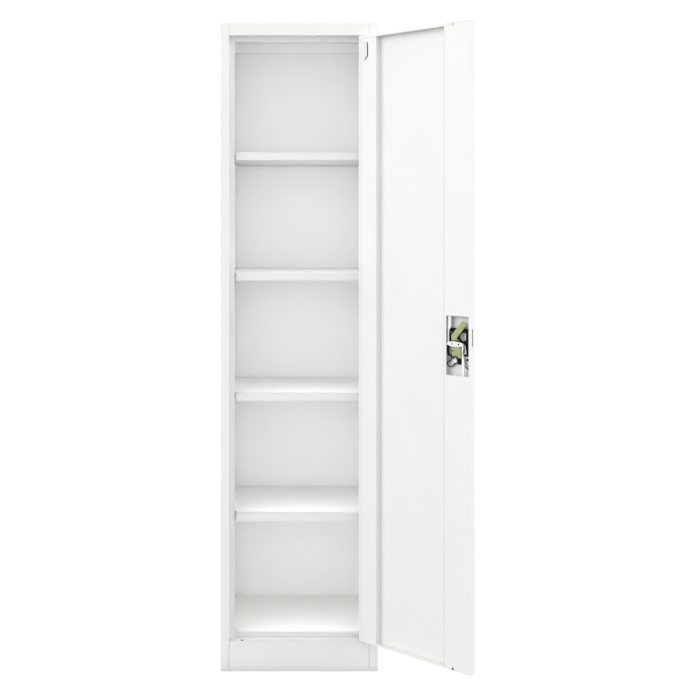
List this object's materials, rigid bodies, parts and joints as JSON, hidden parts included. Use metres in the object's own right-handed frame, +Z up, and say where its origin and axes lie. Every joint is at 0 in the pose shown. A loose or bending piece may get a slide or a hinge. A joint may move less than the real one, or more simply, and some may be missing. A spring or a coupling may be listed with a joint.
{
  "type": "steel locker cabinet",
  "caption": "Tall narrow folded-steel locker with one full-height door on the right, adjustable shelves on clips and a three-point rod lock.",
  "frame": {"origin": "underside of the plinth's floor return, in the middle of the width", "axes": "+X to the locker's right as seen from the front, +Y to the back, +Z up"},
  "size_m": [0.6938, 0.6748, 1.85],
  "materials": {
    "coat": "white powder coat, satin, fine orange peel",
    "zinc": "bright zinc plate",
    "yellow_zinc": "olive yellow zinc plate",
    "black_plastic": "black moulded plastic, fine grain",
    "black_steel": "black oxide",
    "nylon": "natural nylon"
  },
  "bodies": {
    "cabinet": {"side_panel_left": "coat", "side_panel_right": "coat", "back_panel": "coat", "top_panel": "coat", "base_panel": "coat", "rear_plinth": "coat", "shelf_1": "coat", "shelf_2": "coat", "shelf_3": "coat", "shelf_4": "coat", "upright_front_left": "coat", "upright_rear_left": "coat", "upright_front_right": "coat", "upright_rear_right": "coat", "clip_1_front_left": "zinc", "clip_2_front_left": "zinc", "clip_3_front_left": "zinc", "clip_4_front_left": "zinc", "clip_1_rear_left": "zinc", "clip_2_rear_left": "zinc", "clip_3_rear_left": "zinc", "clip_4_rear_left": "zinc", "clip_1_front_right": "zinc", "clip_2_front_right": "zinc", "clip_3_front_right": "zinc", "clip_4_front_right": "zinc", "clip_1_rear_right": "zinc", "clip_2_rear_right": "zinc", "clip_3_rear_right": "zinc", "clip_4_rear_right": "zinc", "top_screw_left": "zinc", "top_screw_right": "zinc", "base_screw_left": "zinc", "base_screw_right": "zinc", "pivot_washer_top": "nylon", "pivot_washer_bottom": "nylon"},
    "door": {"door_skin": "coat", "hinge_stile": "coat", "lock_stile": "coat", "bottom_pivot_pin": "zinc", "top_pin_bracket": "zinc", "top_pin_spring": "zinc", "rod_guide_top": "nylon", "rod_guide_bottom": "nylon", "handle_housing": "black_plastic", "housing_screw_1": "black_steel", "housing_screw_2": "black_steel", "lock_cylinder": "zinc", "lock_spring": "black_steel"},
    "handle": {"handle_lever": "black_plastic", "spindle": "zinc", "latch_cam": "yellow_zinc", "rocker_plate": "zinc", "rocker_pin_upper": "zinc", "rocker_pin_lower": "zinc"},
    "key": {"key_plug": "zinc"},
    "rod_up": {"upper_rod": "zinc"},
    "rod_down": {"lower_rod": "zinc"},
    "hinge_pin": {"top_pivot_pin": "coat"}
  },
  "joints": [
    {"name": "door_hinge", "type": "hinge", "parent": "cabinet", "child": "door", "pos_m": [0.188, -0.0055, 0.95], "axis": [0, 0, 1], "range_deg": [-136, 1]},
    {"name": "handle_turn", "type": "hinge", "parent": "door", "child": "handle", "pos_m": [0.42754, -0.23682, 0.956], "axis": [0.6947, 0.7193, 0], "range_deg": [0, 60]},
    {"name": "upper_rod_slide", "type": "slide", "parent": "door", "child": "rod_up", "axis": [0, 0, 1], "range_m": [0, 0.02]},
    {"name": "lower_rod_slide", "type": "slide", "parent": "door", "child": "rod_down", "axis": [0, 0, -1], "range_m": [0, 0.02]},
    {"name": "key_turn", "type": "hinge", "parent": "door", "child": "key", "pos_m": [0.44373, -0.25245, 0.976], "axis": [0.6947, 0.7193, 0], "range_deg": [0, 90]},
    {"name": "top_pin_slide", "type": "slide", "parent": "door", "child": "hinge_pin", "axis": [0, 0, -1], "range_m": [0, 0.0125], "stiffness_N_per_m": 200, "springref_m": -0.01, "deforming": ["top_pin_spring"]}
  ],
  "couplings": [
    {"joint": "upper_rod_slide", "follows": "handle_turn", "m_per_rad": 0.019021},
    {"joint": "lower_rod_slide", "follows": "handle_turn", "m_per_rad": 0.019021}
  ]
}
